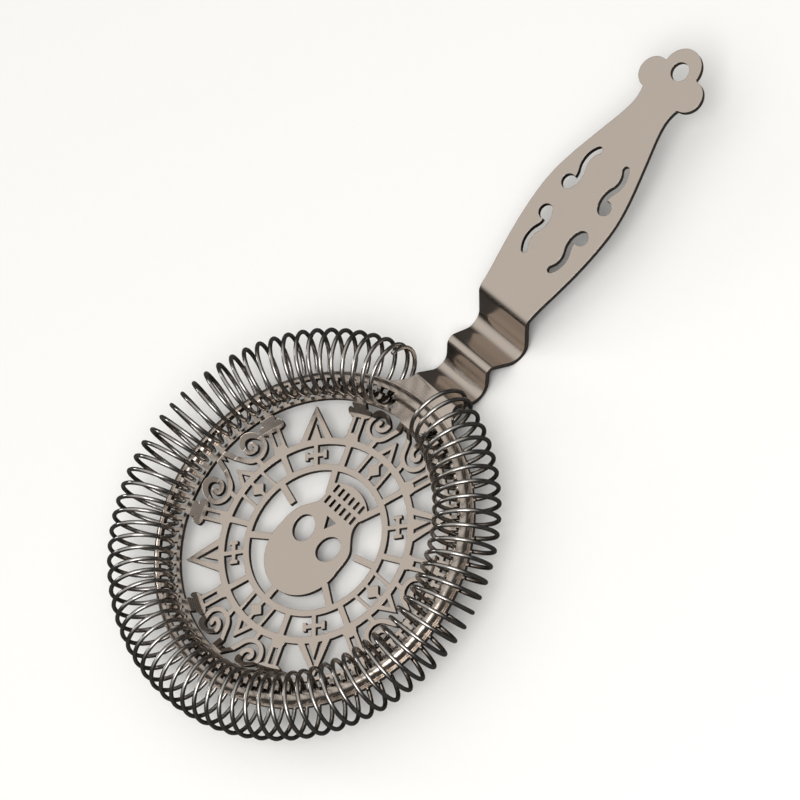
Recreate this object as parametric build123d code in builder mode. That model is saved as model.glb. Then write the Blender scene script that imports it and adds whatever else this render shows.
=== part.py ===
"""Hawthorne strainer: openwork head plate, waved neck with blade handle, and coil spring.

Frame: origin at the centre of the head, on the flat outer face of its medallion.
+X runs along the handle, +Z is the side that carries the spring. Millimetres.
"""
import os
from math import asin, atan2, cos, degrees, pi, radians, sin, sqrt

from build123d import *

# ---------------------------------------------------------------- driving sizes
sheet = 1.3  # thickness of the stamped steel sheet
step = 2.2  # the rim stands this much higher than the medallion
rim_bottom = step
rim_top = step + sheet

rim_inner = 36.0
rim_outer = 43.2
ridge_radius = 40.9  # crown of the raised ridge
ridge_half_width = 1.7
ridge_height = 2.3
slot_inner = 36.9
slot_outer = 40.6
slot_width = 2.0

wire = 1.1
coil_radius = 7.75  # centre of the wire from the centre of the coil
ring_radius = 44.0  # mean radius of the coil's centre line
ring_shift = 0.35  # the coil sits this much further out at the head's far end
slot_centre = 38.9  # radius where the wire crosses the middle of the sheet
first_angle = 10.2  # degrees from the handle's axis to the spring's first end
last_angle = 349.6
close_pitch = 2.0  # degrees between the two close turns at each end
start_turn_angle = 60.0  # where the first wire end stands in its turn
turns = 77.6
points_per_turn = 10
stretches = 5  # the wire is drawn in this many lengths, one after another

ray_tip = 35.3
bend_inner = 33.4  # the links leave the medallion's plane here
ring_outside = 26.5
ring_inside = 24.8
hub_outside = 19.6
hub_inside = 18.0

neck_half = 7.35
neck_end = 73.0
rake_start = 1.6  # the blade starts this much above the rim's top face and rises to its tip
rake_end = 9.3
hole_radius = 2.45
hole_x = 143.6
end_x = 144.6


# ---------------------------------------------------------------- spring geometry
def turn_position(turn):
    """Azimuth of the wire in degrees: close turns at both ends, even pitch between them."""
    even_pitch = (last_angle - first_angle - 2 * close_pitch) / (turns - 2)
    if turn < 1:
        return first_angle + close_pitch * turn
    if turn > turns - 1:
        return last_angle - close_pitch * (turns - turn)
    return first_angle + close_pitch + even_pitch * (turn - 1)


def wire_point(turn):
    """The wire winds round a ring that leans, so that every turn meets its slot."""
    azimuth = radians(turn_position(turn))
    centre = ring_radius - ring_shift * cos(azimuth)
    rise = sqrt(coil_radius**2 - (centre - slot_centre) ** 2)
    height = rim_top - sheet / 2 + rise
    angle = radians(start_turn_angle) - 2 * pi * turn
    distance = centre + coil_radius * cos(angle)
    return Vector(
        distance * cos(azimuth), distance * sin(azimuth), height + coil_radius * sin(angle)
    )


def slot_turns():
    """The turn counts at which the wire passes up through the sheet on the inner side."""
    crossings = []
    for whole in range(1, int(turns) + 2):
        turn = whole
        for _ in range(4):
            azimuth = radians(turn_position(turn))
            centre = ring_radius - ring_shift * cos(azimuth)
            crossing = 180 + degrees(asin(sqrt(1 - ((centre - slot_centre) / coil_radius) ** 2)))
            turn = whole + (start_turn_angle - crossing) / 360
        if 0 < turn < turns:
            crossings.append(turn)
    return crossings


# ---------------------------------------------------------------- medallion outlines
def ring_point(radius, angle):
    """A point on the head's plane from its radius and its azimuth in degrees."""
    return (radius * cos(radians(angle)), radius * sin(radians(angle)))


# One pointed ray: two straight legs on the ring and a small solid spike between them.
with BuildSketch() as ray:
    with BuildLine():
        Polyline(
            ring_point(25.8, 10.5), (ray_tip, 0), ring_point(25.8, -10.5),
            ring_point(25.8, -6.0), (32.6, 0), ring_point(25.8, 6.0), close=True,
        )
    make_face()
    with BuildLine():
        Polyline(ring_point(25.8, 3.4), (30.6, 0), ring_point(25.8, -3.4), close=True)
    make_face()

# One column: a knob on the ring, twin bars, a capital with two lobes, and a neck to the rim.
with BuildSketch() as column:
    with Locations((26.4, 0)):
        Circle(1.9)
    with Locations((30.0, 1.15), (30.0, -1.15)):
        Rectangle(6.6, 0.95)
    with Locations((33.2, 0)):
        Rectangle(1.5, 4.6)
    with Locations((33.6, 2.3), (33.6, -2.3)):
        Circle(0.95)
    with BuildLine():
        Polyline((33.2, 1.2), (35.0, 2.0), (36.8, 1.5), (36.8, -1.5), (35.0, -2.0), (33.2, -1.2),
                 close=True)
    make_face()

# One double scroll: an arch whose apex joins the rim and whose legs curl outwards.
scroll_width = 1.2
with BuildSketch() as scroll:
    with BuildLine() as curl:
        leg = Line((36.9, 0.5), (30.2, 3.3))
        turn_out = TangentArc(leg @ 1, (27.9, 6.6), tangent=leg % 1)
        bowl = TangentArc(turn_out @ 1, (34.2, 6.9), tangent=turn_out % 1)
        turn_in = TangentArc(bowl @ 1, (30.5, 6.6), tangent=bowl % 1)
        TangentArc(turn_in @ 1, (32.3, 6.9), tangent=turn_in % 1)
    trace(lines=curl.line, line_width=scroll_width)
    mirror(about=Plane.XZ)
    with Locations((35.9, 0)):
        RegularPolygon(1.7, 3, rotation=180)
    with BuildLine():
        Polyline(ring_point(25.8, 6.2), (31.0, 0), ring_point(25.8, -6.2),
                 ring_point(25.8, -3.2), (28.8, 0), ring_point(25.8, 3.2), close=True)
    make_face()
    with Locations((27.2, 5.2), (27.2, -5.2)):
        Rectangle(3.0, 1.2)

# The small figures inside the cells of the ring.
with BuildSketch() as cross_figure:
    with Locations((22.2, 0)):
        Rectangle(6.0, 1.1)
        Rectangle(1.0, 4.6)
    with Locations((22.2, 2.5), (22.2, -2.5)):
        Rectangle(2.2, 0.9)

with BuildSketch() as lozenge_figure:
    with Locations((22.2, 0)):
        Rectangle(6.0, 0.9)
        Rectangle(2.8, 2.8, rotation=45)
    with Locations((22.2, 3.6), (22.2, -3.6)):
        Rectangle(6.0, 0.9)

# A plain skull: domed cranium away from the handle, jaw with rows of gaps towards it.
with BuildSketch() as skull:
    with Locations((-3.8, 0)):
        Ellipse(11.4, 10.8)
    with BuildLine():
        cheek = Spline((-2.0, 10.7), (4.6, 8.9), (7.6, 6.6), (13.5, 6.4), tangents=[(1, 0), (1, 0)])
        chin = ThreePointArc(cheek @ 1, (15.9, 0), (13.5, -6.4))
        Spline(chin @ 1, (7.6, -6.6), (4.6, -8.9), (-2.0, -10.7), tangents=[(-1, 0), (-1, 0)])
        Line((-2.0, -10.7), (-2.0, 10.7))
    make_face()
    with Locations(Location((0.4, 4.7, 0), 20), Location((0.4, -4.7, 0), -20)):
        Ellipse(3.5, 3.0, mode=Mode.SUBTRACT)
    with BuildLine():
        Polyline((3.4, 0), (6.4, 1.7), (6.4, -1.7), close=True)
    make_face(mode=Mode.SUBTRACT)
    with Locations((9.5, 0), (12.9, 0)):
        with GridLocations(0, 1.9, 1, 6):
            Rectangle(2.2, 0.9, mode=Mode.SUBTRACT)

# ---------------------------------------------------------------- head plate
with BuildSketch() as flat_outline:
    Circle(ring_outside)
    Circle(ring_inside, mode=Mode.SUBTRACT)
    Circle(hub_outside)
    Circle(hub_inside, mode=Mode.SUBTRACT)
    for azimuth in (24, 66, 114, 156, 204, 246, 294, 336):
        with PolarLocations(22.2, 1, start_angle=azimuth):
            Rectangle(6.4, 1.5)
    with PolarLocations(0, 4, start_angle=45):
        add(ray.sketch)
        add(cross_figure.sketch)
    with PolarLocations(0, 4):
        add(scroll.sketch)
        add(lozenge_figure.sketch)
    for azimuth in (24, 66, 114, 156, 204, 246, 294, 336):
        with PolarLocations(0, 1, start_angle=azimuth):
            add(column.sketch)
    add(skull.sketch)
    for azimuth in (28, 75, 122, 180, 238, 285, 332):
        with PolarLocations(15.5, 1, start_angle=azimuth):
            Rectangle(6.6, 1.7)
    with Locations(Location((0.4, 4.7, 0), 20), Location((0.4, -4.7, 0), -20)):
        Ellipse(3.5, 3.0, mode=Mode.SUBTRACT)

with BuildSketch() as link_outline:
    for azimuth in (24, 66, 114, 156, 204, 246, 294, 336):
        with PolarLocations(0, 1, start_angle=azimuth):
            add(column.sketch)
    with PolarLocations(0, 4):
        add(scroll.sketch)

# The flat medallion, cut where its columns and scrolls start to rise.
with BuildPart() as medallion:
    extrude(flat_outline.sketch, amount=sheet)
    with BuildSketch():
        Circle(rim_inner + 2)
        Circle(bend_inner, mode=Mode.SUBTRACT)
        with PolarLocations(0, 4, start_angle=45):
            add(ray.sketch, mode=Mode.SUBTRACT)
    extrude(amount=sheet, mode=Mode.SUBTRACT)

# The sloping stretch of each column and scroll, up to the rim.
bend_outer = rim_inner + 0.35
with BuildPart() as links:
    with BuildSketch(Plane.XZ):
        with BuildLine():
            Polyline((bend_inner - 0.05, 0), (bend_outer - 0.4, rim_bottom),
                     (bend_outer, rim_bottom), (bend_outer, rim_top),
                     (bend_outer - 0.9, rim_top), (bend_inner - 0.05, sheet), close=True)
        make_face()
    revolve(axis=Axis.Z)
    extrude(link_outline.sketch, amount=rim_top + 1, mode=Mode.INTERSECT)

# The rim: a flat ring pressed up into a round ridge, with one slot for each turn of wire.
with BuildPart() as head_plate:
    with BuildSketch(Plane.XZ):
        with BuildLine():
            ridge_in = ridge_radius - ridge_half_width
            ridge_out = ridge_radius + ridge_half_width
            inner_top = Line((rim_inner, rim_top), (ridge_in, rim_top))
            crown = ThreePointArc(inner_top @ 1, (ridge_radius, rim_top + ridge_height),
                                  (ridge_out, rim_top))
            outer_top = Line(crown @ 1, (rim_outer, rim_top))
            outer_end = Line(outer_top @ 1, (rim_outer, rim_bottom))
            under_out = Line(outer_end @ 1, (ridge_out - 0.75, rim_bottom))
            hollow = ThreePointArc(under_out @ 1, (ridge_radius, rim_bottom + ridge_height),
                                   (ridge_in + 0.75, rim_bottom))
            under_in = Line(hollow @ 1, (rim_inner, rim_bottom))
            Line(under_in @ 1, (rim_inner, rim_top))
        make_face()
    revolve(axis=Axis.Z)
    with BuildSketch(Plane.XY.offset(rim_bottom - 1)):
        for turn in slot_turns():
            with PolarLocations((slot_inner + slot_outer) / 2, 1, start_angle=turn_position(turn)):
                Rectangle(slot_outer - slot_inner, slot_width)
    extrude(amount=sheet + ridge_height + 2, mode=Mode.SUBTRACT)
    add(medallion.part)
    add(links.part)
head_plate.part.label = "head_plate"

# ---------------------------------------------------------------- handle
blade_edge = [
    (73.3, 8.6), (82, 9.9), (91, 11.4), (99, 12.1), (105, 12.0), (111, 11.0),
    (118, 9.1), (124, 7.3), (129.5, 5.8), (133.0, 5.5), (136.2, 6.2),
]
with BuildSketch() as handle_outline:
    with BuildLine():
        root = ring_point(rim_outer, 15.5)
        flare = Spline(root, (47.5, neck_half), tangents=[(0.75, -0.66), (1, 0)])
        waist = Spline(flare @ 1, (58.8, 7.3), (66.0, 8.2), blade_edge[0],
                       tangents=[(1, 0), (1, 0.05)])
        edge = Spline(*blade_edge, tangents=[(1, 0.05), (1, 0.35)])
        Line(edge @ 1, (end_x, 3.0))
        Line((end_x, 3.0), (end_x, 0))
        mirror(about=Plane.XZ)
        ThreePointArc(root, (rim_outer, 0), (root[0], -root[1]))
    make_face()
    with Locations((end_x, 0)):
        Circle(5.1)
    with Locations((139.9, 5.8), (139.9, -5.8)):
        Circle(4.2)
    lobes = handle_outline.vertices().filter_by(lambda v: v.X > 135.5)
    fillet(lobes, radius=0.5)

# One curled cut-out: a round head with a bent tail, repeated in four mirrored places.
with BuildSketch() as blade_cut:
    with BuildLine() as tail:
        near = ThreePointArc((106.6, 5.3), (108.7, 4.85), (111.0, 5.45))
        far = TangentArc(near @ 1, (117.0, 4.8), tangent=near % 1)
    trace(lines=tail.line, line_width=1.9)
    with Locations((106.6, 6.5)):
        Circle(1.95)
    with Locations((117.0, 4.8)):
        Circle(0.95)
    mirror(about=Plane.YZ.offset(102.05))
    mirror(about=Plane.XZ)

# The blade's upper face at the hanging hole, which is drilled square to the sheet.
rake = atan2(rake_end - rake_start, end_x + 8 - neck_end)
hole_height = rim_top + rake_start + (hole_x - neck_end) * sin(rake) / cos(rake)
hole_plane = Plane(
    origin=(hole_x, 0, hole_height), x_dir=(cos(rake), 0, sin(rake)), z_dir=(-sin(rake), 0, cos(rake))
)

# The sheet's side view: flat blade, two waves with a crest between them, flat root.
with BuildPart() as handle:
    with BuildSketch(Plane.XZ):
        with BuildLine() as side_view:
            FilletPolyline(
                (rim_outer - 3, rim_top), (47.2, rim_top), (52.9, rim_top - 8.5),
                (58.8, rim_top + 0.1), (66.6, rim_top - 8.8), (neck_end, rim_top + rake_start),
                (end_x + 8, rim_top + rake_end),
                radius=[1.5, 3.36, 2.0, 3.4, 3.0],
            )
            offset(amount=sheet, side=Side.RIGHT)
        make_face()
    extrude(amount=30, both=True)
    extrude(handle_outline.sketch, amount=30, both=True, mode=Mode.INTERSECT)
    extrude(blade_cut.sketch, amount=30, both=True, mode=Mode.SUBTRACT)
    with BuildSketch(hole_plane):
        Circle(hole_radius)
    extrude(amount=3, both=True, mode=Mode.SUBTRACT)
handle.part.label = "handle"

# ---------------------------------------------------------------- coil spring
with BuildPart() as coil_spring:
    for stretch in range(stretches):
        begin = turns * stretch / stretches
        steps = int(turns / stretches * points_per_turn)
        with BuildLine() as wire_line:
            Spline(*[wire_point(begin + turns * i / (stretches * steps)) for i in range(steps + 1)])
        with BuildSketch(Plane(origin=wire_line.line @ 0, z_dir=wire_line.line % 0)):
            Circle(wire / 2)
        sweep(path=wire_line.line, is_frenet=True)
coil_spring.part.label = "coil_spring"

# ---------------------------------------------------------------- write the pieces
os.makedirs("parts", exist_ok=True)
export_step(head_plate.part, "parts/head_plate.step")
export_step(handle.part, "parts/handle.step")
export_step(coil_spring.part, "parts/coil_spring.step")
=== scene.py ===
"""Hawthorne strainer, around its CAD model.

It gives the stamped head plate and the handle their finishes, winds the spring, and sets a plain
studio.
"""

import bpy
import numpy as np
from bpy.props import FloatProperty, FloatVectorProperty, IntProperty, PointerProperty
from mathutils import Matrix, Vector


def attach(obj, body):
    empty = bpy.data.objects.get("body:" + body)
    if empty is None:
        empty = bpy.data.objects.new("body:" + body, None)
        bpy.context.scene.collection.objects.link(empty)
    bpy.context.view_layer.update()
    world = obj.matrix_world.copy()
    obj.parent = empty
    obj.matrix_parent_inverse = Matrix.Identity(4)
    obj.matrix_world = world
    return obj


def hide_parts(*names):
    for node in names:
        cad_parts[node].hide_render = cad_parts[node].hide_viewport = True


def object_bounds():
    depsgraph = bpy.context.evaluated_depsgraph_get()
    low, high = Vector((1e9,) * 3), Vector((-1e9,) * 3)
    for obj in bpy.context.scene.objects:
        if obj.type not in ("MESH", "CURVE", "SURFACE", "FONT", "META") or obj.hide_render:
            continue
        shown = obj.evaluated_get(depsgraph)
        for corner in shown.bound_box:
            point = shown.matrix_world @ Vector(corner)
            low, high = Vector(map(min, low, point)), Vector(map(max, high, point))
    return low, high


bl_info = {
    "name": "Hawthorne strainer",
    "version": (1, 0, 0),
    "blender": (4, 5, 0),
    "location": "3D View > Sidebar > Strainer",
    "description": "Finishes a strainer's plate and handle, winds its spring, sets a studio",
    "category": "Object",
}

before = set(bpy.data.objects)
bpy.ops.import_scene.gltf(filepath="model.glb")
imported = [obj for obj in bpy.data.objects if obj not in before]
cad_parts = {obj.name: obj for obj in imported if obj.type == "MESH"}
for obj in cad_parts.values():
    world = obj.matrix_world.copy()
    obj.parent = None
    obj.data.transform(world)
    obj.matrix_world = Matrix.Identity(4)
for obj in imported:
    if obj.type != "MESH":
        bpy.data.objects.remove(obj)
cad_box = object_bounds()

# Sockets of a Mix node that mixes colours: their names repeat for each type of data.
MIX_A, MIX_B, MIX_RESULT = 6, 7, 2


# ------------------------------------------------------------------ colours and nodes
def linear_rgb(code):
    """Turns an sRGB hex code into linear red, green and blue."""
    raw = [int(code[i : i + 2], 16) / 255 for i in (1, 3, 5)]
    return tuple(c / 12.92 if c <= 0.04045 else ((c + 0.055) / 1.055) ** 2.4 for c in raw)


def add_node(tree, kind, links=None, **settings):
    """Adds one node, sets its properties or sockets by name, and links sockets into it."""
    node = tree.nodes.new(kind)
    for name, value in settings.items():
        if hasattr(node, name):
            setattr(node, name, value)
        else:
            node.inputs[name.replace("_", " ")].default_value = value
    for socket, source in (links or {}).items():
        tree.links.new(source, node.inputs[socket])
    return node


def new_material(name):
    """An empty node material with only its output."""
    material = bpy.data.materials.new(name)
    material.use_nodes = True
    material.node_tree.nodes.clear()
    output = material.node_tree.nodes.new("ShaderNodeOutputMaterial")
    return material, material.node_tree, output


def plated_sheet_material(name, light, dark, roughness):
    """Dark nickel plate on polished stamped steel.

    The eye gets a warm grey mirror that is a little cloudy: faint polishing lines about 0.2 mm
    apart, drawn at 0.5 mm so that they show, soft patches of handling haze some 15 mm across,
    and sparse fine scratches. The scales are in cells a metre.
    """
    polish_scale = (60.0, 2000.0, 2000.0)  # lines 17 mm long and 0.5 mm apart
    scratch_scale = (45.0, 1400.0, 1400.0)  # scratches 22 mm long, in tracks 0.7 mm apart
    scratch_turn = 0.9  # radians between the scratches and the polishing lines
    haze_scale = 65.0  # patches 15 mm across
    smoother, duller = 0.05, 0.07  # how far the haze moves the roughness down and up
    edge_radius = 0.00016  # corners that the polishing has rounded, in metres
    material, tree, output = new_material(name)
    place = add_node(tree, "ShaderNodeTexCoord")
    lines = add_node(
        tree, "ShaderNodeMapping", {"Vector": place.outputs["Object"]},
        Scale=polish_scale,
    )
    polish = add_node(
        tree, "ShaderNodeTexNoise", {"Vector": lines.outputs["Vector"]},
        Scale=1.0, Detail=4.0, Roughness=0.6,
    )
    haze = add_node(
        tree, "ShaderNodeTexNoise", {"Vector": place.outputs["Object"]},
        Scale=haze_scale, Detail=5.0, Roughness=0.55,
    )
    crossing = add_node(
        tree, "ShaderNodeMapping", {"Vector": place.outputs["Object"]},
        Rotation=(0.0, 0.0, scratch_turn), Scale=scratch_scale,
    )
    scratch = add_node(
        tree, "ShaderNodeTexNoise", {"Vector": crossing.outputs["Vector"]},
        Scale=1.0, Detail=2.0, Roughness=0.5,
    )
    scratch_mask = add_node(
        tree, "ShaderNodeMapRange", {"Value": scratch.outputs["Fac"]},
        From_Min=0.7, From_Max=0.8, To_Min=0.0, To_Max=0.25,
    )
    tone = add_node(tree, "ShaderNodeMix", {"Factor": haze.outputs["Fac"]}, data_type="RGBA")
    tone.inputs[MIX_A].default_value = (*dark, 1.0)
    tone.inputs[MIX_B].default_value = (*light, 1.0)
    gloss = add_node(
        tree, "ShaderNodeMapRange", {"Value": haze.outputs["Fac"]},
        From_Min=0.3, From_Max=0.7, To_Min=roughness - smoother, To_Max=roughness + duller,
    )
    gloss_with_scratch = add_node(
        tree, "ShaderNodeMath",
        {0: gloss.outputs["Result"], 1: scratch_mask.outputs["Result"]}, operation="MULTIPLY_ADD",
    )
    tree.links.new(gloss.outputs["Result"], gloss_with_scratch.inputs[2])
    relief = add_node(
        tree, "ShaderNodeMath",
        {0: polish.outputs["Fac"], 1: scratch_mask.outputs["Result"]}, operation="SUBTRACT",
    )
    rounded = add_node(tree, "ShaderNodeBevel", samples=4, Radius=edge_radius)
    bump = add_node(
        tree, "ShaderNodeBump",
        {"Height": relief.outputs["Value"], "Normal": rounded.outputs["Normal"]},
        Strength=0.08, Distance=0.00003,
    )
    shader = add_node(
        tree, "ShaderNodeBsdfPrincipled",
        {
            "Base Color": tone.outputs[MIX_RESULT],
            "Roughness": gloss_with_scratch.outputs["Value"],
            "Normal": bump.outputs["Normal"],
        },
        Metallic=1.0,
    )
    tree.links.new(shader.outputs["BSDF"], output.inputs["Surface"])
    return material


def drawn_wire_material(name, light, dark, roughness):
    """Dark nickel plate on hard-drawn spring wire.

    The eye gets a bright grey wire, dark wherever it mirrors its neighbours, with a sharp
    highlight along each turn. The die's lengthwise marks, about 0.1 mm apart round the wire,
    and a faint change of tone every few millimetres break it up.
    """
    marks_scale = (300.0, 28.0, 1.0)  # marks 3.3 mm long, and 28 of them round the wire
    blotch_scale = 260.0  # cells a metre: patches 4 mm across
    smoother, duller = 0.05, 0.08  # how far the marks move the roughness down and up
    material, tree, output = new_material(name)
    place = add_node(tree, "ShaderNodeUVMap", uv_map="wire")
    along = add_node(
        tree, "ShaderNodeMapping", {"Vector": place.outputs["UV"]}, Scale=marks_scale,
    )
    marks = add_node(
        tree, "ShaderNodeTexNoise", {"Vector": along.outputs["Vector"]},
        Scale=1.0, Detail=3.0, Roughness=0.6,
    )
    blotch = add_node(
        tree, "ShaderNodeTexNoise",
        {"Vector": add_node(tree, "ShaderNodeTexCoord").outputs["Object"]},
        Scale=blotch_scale, Detail=3.0, Roughness=0.5,
    )
    tone = add_node(tree, "ShaderNodeMix", {"Factor": blotch.outputs["Fac"]}, data_type="RGBA")
    tone.inputs[MIX_A].default_value = (*dark, 1.0)
    tone.inputs[MIX_B].default_value = (*light, 1.0)
    gloss = add_node(
        tree, "ShaderNodeMapRange", {"Value": marks.outputs["Fac"]},
        From_Min=0.3, From_Max=0.7, To_Min=roughness - smoother, To_Max=roughness + duller,
    )
    bump = add_node(
        tree, "ShaderNodeBump", {"Height": marks.outputs["Fac"]}, Strength=0.15, Distance=0.00003,
    )
    shader = add_node(
        tree, "ShaderNodeBsdfPrincipled",
        {
            "Base Color": tone.outputs[MIX_RESULT],
            "Roughness": gloss.outputs["Result"],
            "Normal": bump.outputs["Normal"],
        },
        Metallic=1.0,
    )
    tree.links.new(shader.outputs["BSDF"], output.inputs["Surface"])
    return material


# ------------------------------------------------------------------ mesh helpers
def tube_mesh(name, points):
    """A quad mesh over rings of points: rows run along the tube, columns round it."""
    rows, columns = points.shape[:2]
    index = np.arange(rows * columns).reshape(rows, columns)
    index = np.concatenate([index, index[:, :1]], axis=1)
    quads = np.stack(
        [index[:-1, :-1], index[:-1, 1:], index[1:, 1:], index[1:, :-1]], axis=-1
    ).reshape(-1, 4)
    mesh = bpy.data.meshes.new(name)
    mesh.vertices.add(rows * columns)
    mesh.vertices.foreach_set("co", points.reshape(-1).astype(np.float32))
    mesh.loops.add(quads.size)
    mesh.loops.foreach_set("vertex_index", quads.reshape(-1).astype(np.int32))
    mesh.polygons.add(len(quads))
    mesh.polygons.foreach_set("loop_start", np.arange(0, quads.size, 4, dtype=np.int32))
    mesh.update(calc_edges=True)
    return mesh, quads


def wire_line(settings):
    """Points along the centre of the spring's wire, and from each the way to its coil's centre.

    Formula: the wire winds with radius a round a ring of radius R - s cos(azimuth), at the
    height that makes it cross the sheet's middle at the slots' radius; the azimuth advances
    evenly, but for one close turn at each end.
    """
    count = int(settings.turns * settings.steps) + 1
    turn = np.linspace(0.0, settings.turns, count)
    last_close = settings.turns - 1
    swept = settings.last_angle - settings.first_angle - 2 * settings.close_pitch
    pitch = swept / (settings.turns - 2)
    azimuth = settings.first_angle + np.where(
        turn < 1,
        settings.close_pitch * turn,
        settings.close_pitch + pitch * (np.minimum(turn, last_close) - 1),
    )
    azimuth = azimuth + settings.close_pitch * np.maximum(turn - last_close, 0.0)
    azimuth = np.radians(azimuth)
    centre = settings.ring_radius - settings.ring_shift * np.cos(azimuth)
    rise = np.sqrt(settings.coil_radius**2 - (centre - settings.slot_radius) ** 2)
    height = settings.sheet_middle + rise
    angle = np.radians(settings.start_angle) - 2 * np.pi * turn
    distance = centre + settings.coil_radius * np.cos(angle)
    lift = height + settings.coil_radius * np.sin(angle)
    line = np.stack([distance * np.cos(azimuth), distance * np.sin(azimuth), lift], axis=1)
    middle = np.stack([centre * np.cos(azimuth), centre * np.sin(azimuth), height], axis=1)
    return line, middle - line


# Rings that close each end of the wire: the first is a point, and the edge is rounded.
CAP_SHARE = np.array([0.0, 0.45, 0.8, 0.96])  # of the wire's radius
CAP_DEPTH = np.array([0.0, 0.0, 0.08, 0.2])  # in from the wire's end, in radii


def give_wire_uv(mesh, quads, centres, columns):
    """Unrolls the wire: U is metres along it, V is the share of a turn round it."""
    step = np.linalg.norm(np.diff(centres, axis=0), axis=1)
    length = np.concatenate([[0.0], np.cumsum(step)])
    row = quads // columns
    across = (quads % columns).astype(float)
    # The last face round the wire ends at V = 1, not back at 0.
    across[:, 1:3] = np.where(across[:, 1:3] < across[:, :1], columns, across[:, 1:3])
    values = np.stack([length[row], across / columns], axis=-1)
    uv = mesh.uv_layers.new(name="wire")
    uv.data.foreach_set("uv", values.reshape(-1).astype(np.float32))


def coil_mesh(settings):
    """The spring's wire as one closed tube.

    Formula: a circle of the wire's radius is carried along the wire's centre line; its frame
    is the line's tangent, the direction to the coil's centre, and their cross product.
    """
    line, inward = wire_line(settings)
    tangent = np.gradient(line, axis=0)
    tangent /= np.linalg.norm(tangent, axis=1, keepdims=True)
    inward = inward - tangent * np.sum(inward * tangent, axis=1, keepdims=True)
    inward /= np.linalg.norm(inward, axis=1, keepdims=True)
    side = np.cross(tangent, inward)

    # Every ring of an end's cap takes the frame of the end itself.
    radius = settings.wire / 2
    rings = len(CAP_SHARE)
    last = len(line) - 1
    source = np.concatenate([np.zeros(rings, int), np.arange(1, last), np.full(rings, last)])
    centres = line[source]
    centres[:rings] += tangent[:1] * radius * CAP_DEPTH[:, None]
    centres[-rings:] -= tangent[-1:] * radius * CAP_DEPTH[::-1, None]
    scale = radius * np.concatenate([CAP_SHARE, np.ones(last - 1), CAP_SHARE[::-1]])
    around = np.linspace(0, 2 * np.pi, settings.sides, endpoint=False)
    points = centres[:, None] + scale[:, None, None] * (
        np.cos(around)[None, :, None] * inward[source][:, None]
        + np.sin(around)[None, :, None] * side[source][:, None]
    )

    mesh, quads = tube_mesh("spring_wire", points)
    give_wire_uv(mesh, quads, centres, settings.sides)
    mesh.polygons.foreach_set("use_smooth", np.ones(len(mesh.polygons), dtype=bool))
    mesh.update()
    return mesh


# ------------------------------------------------------------------ settings
class STRAINER_PG_spring(bpy.types.PropertyGroup):
    """Sizes of the wound spring, in metres and degrees."""

    wire: FloatProperty(
        name="Wire", description="Diameter of the wire", default=0.0011, unit="LENGTH", precision=5
    )
    coil_radius: FloatProperty(
        name="Coil radius", description="Centre of the coil to centre of the wire",
        default=0.00775, unit="LENGTH", precision=5,
    )
    ring_radius: FloatProperty(
        name="Ring radius", description="Mean radius of the coil's centre line",
        default=0.044, unit="LENGTH", precision=5,
    )
    ring_shift: FloatProperty(
        name="Ring shift", description="How much further out the coil sits at the far end",
        default=0.00035, unit="LENGTH", precision=5,
    )
    slot_radius: FloatProperty(
        name="Slot radius", description="Where the wire crosses the sheet's middle",
        default=0.0389, unit="LENGTH", precision=5,
    )
    sheet_middle: FloatProperty(
        name="Sheet middle", description="Height of the rim sheet's middle",
        default=0.00285, unit="LENGTH", precision=5,
    )
    turns: FloatProperty(name="Turns", description="Number of turns of wire", default=77.6)
    first_angle: FloatProperty(
        name="First end", description="Azimuth of the spring's first end, in degrees", default=10.2
    )
    last_angle: FloatProperty(
        name="Last end", description="Azimuth of the spring's last end, in degrees", default=349.6
    )
    close_pitch: FloatProperty(
        name="Close pitch", description="Degrees between the close turns at each end", default=2.0
    )
    start_angle: FloatProperty(
        name="Wire end", description="Where the first wire end stands in its turn, in degrees",
        default=60.0,
    )
    steps: IntProperty(name="Steps", description="Rings of faces for each turn", default=48)
    sides: IntProperty(name="Sides", description="Faces round the wire", default=12)


class STRAINER_PG_finish(bpy.types.PropertyGroup):
    """Colours and gloss of the plated steel."""

    plate_light: FloatVectorProperty(
        name="Plate, light", description="Lighter tone of the plated sheet",
        subtype="COLOR", size=3, min=0.0, max=1.0, default=linear_rgb("#bbb0a6"),
    )
    plate_dark: FloatVectorProperty(
        name="Plate, dark", description="Darker tone of the plated sheet",
        subtype="COLOR", size=3, min=0.0, max=1.0, default=linear_rgb("#b2a79d"),
    )
    plate_roughness: FloatProperty(
        name="Plate roughness", description="Mean roughness of the sheet", default=0.2,
        min=0.0, max=1.0,
    )
    wire_light: FloatVectorProperty(
        name="Wire, light", description="Lighter tone of the wire",
        subtype="COLOR", size=3, min=0.0, max=1.0, default=linear_rgb("#b3afab"),
    )
    wire_dark: FloatVectorProperty(
        name="Wire, dark", description="Darker tone of the wire",
        subtype="COLOR", size=3, min=0.0, max=1.0, default=linear_rgb("#94908c"),
    )
    wire_roughness: FloatProperty(
        name="Wire roughness", description="Mean roughness of the wire", default=0.16,
        min=0.0, max=1.0,
    )


class STRAINER_PG_stage(bpy.types.PropertyGroup):
    """Camera, floor and light."""

    distance: FloatProperty(
        name="Camera distance", description="From the camera to its aim", default=0.9,
        unit="LENGTH",
    )
    frame_width: FloatProperty(
        name="Frame width", description="Width that the picture spans at the aim",
        default=0.19546, unit="LENGTH", precision=5,
    )
    aim: FloatVectorProperty(
        name="Aim", description="Point in the middle of the picture",
        size=3, subtype="TRANSLATION", unit="LENGTH", default=(0.03944, 0.00587, 0.0035),
    )
    floor_colour: FloatVectorProperty(
        name="Floor", description="Colour of the floor", subtype="COLOR", size=3,
        min=0.0, max=1.0, default=linear_rgb("#f4f3f1"),
    )


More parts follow.
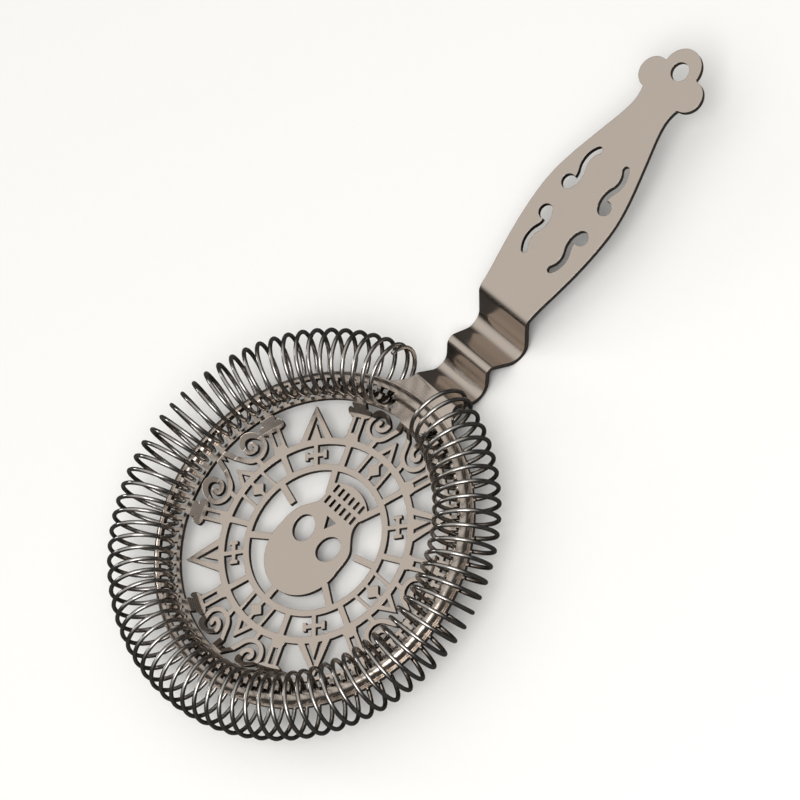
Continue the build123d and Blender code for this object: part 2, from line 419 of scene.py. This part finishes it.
# ------------------------------------------------------------------ studio
FLOOR_HALF = 3.0  # metres from the middle of the floor to its edge
FLOOR_GRAIN = 400.0  # cells a metre: fibres 2.5 mm across
FLOOR_SHADE = 0.985  # how bright the darker fibres are beside the lighter ones
FLOOR_MIRRORED = (0.05, 0.048, 0.046, 1.0)  # what the metal mirrors: a studio that is dark below

# The dome's shades: sine of the angle above the horizon, and colour.
DOME_SHADES = (
    (0.0, (0.03, 0.03, 0.03)),
    (0.4, (0.12, 0.12 * 0.99, 0.12 * 0.97)),
    (0.66, (0.75, 0.75 * 0.99, 0.75 * 0.97)),
    (0.8, (1.0, 0.99, 0.97)),
    (0.95, (1.0, 0.99, 0.97)),
)

# The lamps: name, way from the aim, size in metres, watts.
LAMPS = (
    ("key_softbox", (-0.2, -0.5, 0.9), 0.8, 7.5),
    ("side_softbox", (-0.45, 0.95, 0.4), 0.3, 1.5),
)
LAMP_DISTANCE = 1.2  # metres from the aim

CAMERA_RIGHT = (0.646, -0.642, -0.413)  # the way that points right in the picture
CAMERA_BACK = (0.0, -0.542, 0.841)  # the way from the aim to the camera
SENSOR_WIDTH = 36.0  # millimetres


def paper_material(colour):
    """Matt paper.

    The eye gets a pale even ground with faint fibres. Glossy rays see it dark, as if the
    strainer were held up in a dark room, so the metal keeps its contrast.
    """
    material, tree, output = new_material("matt_paper_floor")
    place = add_node(tree, "ShaderNodeTexCoord")
    grain = add_node(
        tree, "ShaderNodeTexNoise", {"Vector": place.outputs["Object"]},
        Scale=FLOOR_GRAIN, Detail=3.0,
    )
    tone = add_node(tree, "ShaderNodeMix", {"Factor": grain.outputs["Fac"]}, data_type="RGBA")
    tone.inputs[MIX_A].default_value = (*colour, 1.0)
    tone.inputs[MIX_B].default_value = (*(c * FLOOR_SHADE for c in colour), 1.0)
    path = add_node(tree, "ShaderNodeLightPath")
    shown = add_node(
        tree, "ShaderNodeMix",
        {"Factor": path.outputs["Is Glossy Ray"], MIX_A: tone.outputs[MIX_RESULT]},
        data_type="RGBA",
    )
    shown.inputs[MIX_B].default_value = FLOOR_MIRRORED
    shader = add_node(
        tree, "ShaderNodeBsdfPrincipled", {"Base Color": shown.outputs[MIX_RESULT]}, Roughness=0.9,
    )
    tree.links.new(shader.outputs["BSDF"], output.inputs["Surface"])
    return material


def set_floor(scene, settings):
    """A square of paper under the strainer's lowest point."""
    half, low = FLOOR_HALF, cad_box[0][2]
    mesh = bpy.data.meshes.new("studio_floor")
    mesh.from_pydata(
        [(-half, -half, low), (half, -half, low), (half, half, low), (-half, half, low)],
        [], [(0, 1, 2, 3)],
    )
    floor = bpy.data.objects.new("studio_floor", mesh)
    scene.collection.objects.link(floor)
    mesh.materials.append(paper_material(settings.floor_colour))


def set_dome(scene, settings):
    """A sky that is bright overhead and dark at the horizon; the camera sees paper instead."""
    world = bpy.data.worlds.new("studio_dome")
    world.use_nodes = True
    tree = world.node_tree
    tree.nodes.clear()
    place = add_node(tree, "ShaderNodeTexCoord")
    split = add_node(tree, "ShaderNodeSeparateXYZ", {"Vector": place.outputs["Generated"]})
    ramp = add_node(tree, "ShaderNodeValToRGB", {"Fac": split.outputs["Z"]})
    stops = ramp.color_ramp.elements
    stops[0].position, stops[1].position = DOME_SHADES[0][0], DOME_SHADES[-1][0]
    for sine, _ in DOME_SHADES[1:-1]:
        stops.new(sine)
    for stop, (_, colour) in zip(stops, DOME_SHADES):
        stop.color = (*colour, 1)
    sky = add_node(
        tree, "ShaderNodeBackground", {"Color": ramp.outputs["Color"]}, Strength=1.0,
    )
    paper = add_node(
        tree, "ShaderNodeBackground", Color=(*settings.floor_colour, 1.0), Strength=1.0,
    )
    path = add_node(tree, "ShaderNodeLightPath")
    seen = add_node(
        tree, "ShaderNodeMixShader",
        {0: path.outputs["Is Camera Ray"], 1: sky.outputs["Background"],
         2: paper.outputs["Background"]},
    )
    end = tree.nodes.new("ShaderNodeOutputWorld")
    tree.links.new(seen.outputs["Shader"], end.inputs["Surface"])
    scene.world = world


def set_lamps(scene, settings):
    """Round softboxes that face the aim."""
    aim = Vector(settings.aim)
    for name, way, size, power in LAMPS:
        light = bpy.data.lights.new(name, "AREA")
        light.shape = "DISK"
        light.size = size
        light.energy = power
        lamp = bpy.data.objects.new(name, light)
        way = Vector(way).normalized()
        turn = way.to_track_quat("Z", "Y").to_matrix().to_4x4()
        lamp.matrix_world = Matrix.Translation(aim + way * LAMP_DISTANCE) @ turn
        scene.collection.objects.link(lamp)


def set_camera(scene, settings):
    """The camera, turned as its right-hand way and its way back say."""
    back = Vector(CAMERA_BACK).normalized()
    right = Vector(CAMERA_RIGHT)
    right = (right - back * right.dot(back)).normalized()
    up = back.cross(right)
    data = bpy.data.cameras.new("studio_camera")
    data.sensor_width = SENSOR_WIDTH
    data.lens = SENSOR_WIDTH * settings.distance / settings.frame_width
    data.clip_start = 0.01
    data.clip_end = 20.0
    camera = bpy.data.objects.new("studio_camera", data)
    turn = Matrix((right, up, back)).transposed().to_4x4()
    place = Vector(settings.aim) + back * settings.distance
    camera.matrix_world = Matrix.Translation(place) @ turn
    scene.collection.objects.link(camera)
    scene.camera = camera


# ------------------------------------------------------------------ operators
def give_finish(node, material):
    """Puts one material on every slot of a node of the CAD model."""
    if not node.material_slots:
        node.data.materials.append(material)
    for slot in node.material_slots:
        slot.material = material


class STRAINER_OT_head_plate(bpy.types.Operator):
    """Gives the openwork head plate its plated and polished finish"""

    bl_idname = "strainer.head_plate"
    bl_label = "Head plate"

    def execute(self, context):
        finish = context.scene.strainer_finish
        material = plated_sheet_material(
            "dark_nickel_stamped_head", finish.plate_light, finish.plate_dark,
            finish.plate_roughness,
        )
        give_finish(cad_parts["head_plate"], material)
        return {"FINISHED"}


class STRAINER_OT_handle(bpy.types.Operator):
    """Gives the waved neck and the blade the same finish, polished along their length"""

    bl_idname = "strainer.handle"
    bl_label = "Handle"

    def execute(self, context):
        finish = context.scene.strainer_finish
        material = plated_sheet_material(
            "dark_nickel_polished_handle", finish.plate_light, finish.plate_dark,
            finish.plate_roughness,
        )
        give_finish(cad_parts["handle"], material)
        return {"FINISHED"}


class STRAINER_OT_coil_spring(bpy.types.Operator):
    """Winds the coil spring as one smooth closed tube through the slots of the rim"""

    bl_idname = "strainer.coil_spring"
    bl_label = "Coil spring"

    def execute(self, context):
        finish = context.scene.strainer_finish
        mesh = coil_mesh(context.scene.strainer_spring)
        piece = bpy.data.objects.new("spring_coil", mesh)
        context.scene.collection.objects.link(piece)
        mesh.materials.append(
            drawn_wire_material(
                "dark_nickel_drawn_wire", finish.wire_light, finish.wire_dark,
                finish.wire_roughness,
            )
        )
        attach(piece, "spring")
        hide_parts("coil_spring")
        return {"FINISHED"}


class STRAINER_OT_stage(bpy.types.Operator):
    """Sets a plain pale floor, soft studio light and the camera"""

    bl_idname = "strainer.stage"
    bl_label = "Studio"

    def execute(self, context):
        scene = context.scene
        settings = scene.strainer_stage
        set_floor(scene, settings)
        set_dome(scene, settings)
        set_lamps(scene, settings)
        set_camera(scene, settings)
        scene.view_settings.view_transform = "Standard"
        return {"FINISHED"}


class STRAINER_PT_panel(bpy.types.Panel):
    """Lists the strainer's pieces and their sizes"""

    bl_label = "Strainer"
    bl_idname = "STRAINER_PT_panel"
    bl_space_type = "VIEW_3D"
    bl_region_type = "UI"
    bl_category = "Strainer"

    def draw(self, context):
        layout = self.layout
        for group in ("strainer_spring", "strainer_finish", "strainer_stage"):
            box = layout.box()
            settings = getattr(context.scene, group)
            for name in settings.__annotations__:
                box.prop(settings, name)
        for piece in PIECES:
            layout.operator(piece.bl_idname)


PIECES = (STRAINER_OT_stage, STRAINER_OT_head_plate, STRAINER_OT_handle, STRAINER_OT_coil_spring)
CLASSES = (STRAINER_PG_spring, STRAINER_PG_finish, STRAINER_PG_stage, *PIECES, STRAINER_PT_panel)


def register():
    """Registers the classes and hangs their settings on the scene."""
    for item in CLASSES:
        bpy.utils.register_class(item)
    bpy.types.Scene.strainer_spring = PointerProperty(type=STRAINER_PG_spring)
    bpy.types.Scene.strainer_finish = PointerProperty(type=STRAINER_PG_finish)
    bpy.types.Scene.strainer_stage = PointerProperty(type=STRAINER_PG_stage)


def unregister():
    """Takes the settings and the classes away again."""
    del bpy.types.Scene.strainer_stage
    del bpy.types.Scene.strainer_finish
    del bpy.types.Scene.strainer_spring
    for item in reversed(CLASSES):
        bpy.utils.unregister_class(item)


def main():
    register()
    bpy.ops.strainer.stage()
    bpy.ops.strainer.head_plate()
    bpy.ops.strainer.handle()
    bpy.ops.strainer.coil_spring()


if __name__ == "__main__":
    main()
